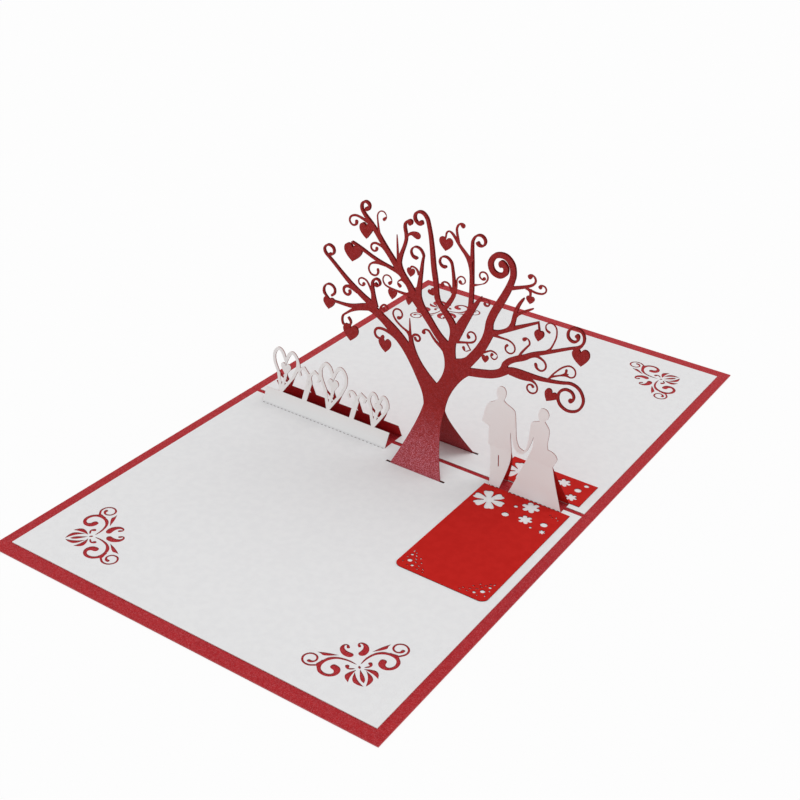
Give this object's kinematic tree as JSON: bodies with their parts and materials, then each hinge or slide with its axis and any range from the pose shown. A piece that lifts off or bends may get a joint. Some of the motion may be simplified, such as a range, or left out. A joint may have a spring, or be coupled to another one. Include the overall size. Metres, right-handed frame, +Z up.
{
  "type": "pop up card",
  "caption": "Pop-up greeting card lying open: red cover, white cut liners, a standing scroll tree with hearts, a scroll garland and a paper couple beside red panels.",
  "frame": {"origin": "under the middle of the fold, on the surface that the open card lies on", "axes": "+X along the fold, towards the couple; -Y the front page; +Y the rear page; +Z up, along the tree"},
  "size_m": [0.17, 0.3, 0.1067],
  "materials": {
    "red_card": "pearlescent",
    "white_card": "matte",
    "red_sheet": "pearlescent",
    "bright_red_sheet": "pearlescent"
  },
  "bodies": {
    "root": {"outer_cover": "red_card", "front_liner": "white_card", "rear_liner": "white_card", "tree_front": "red_sheet", "tree_rear": "red_sheet", "garland_back": "red_sheet", "front_panel": "bright_red_sheet", "couple_back": "bright_red_sheet"}
  },
  "joints": []
}
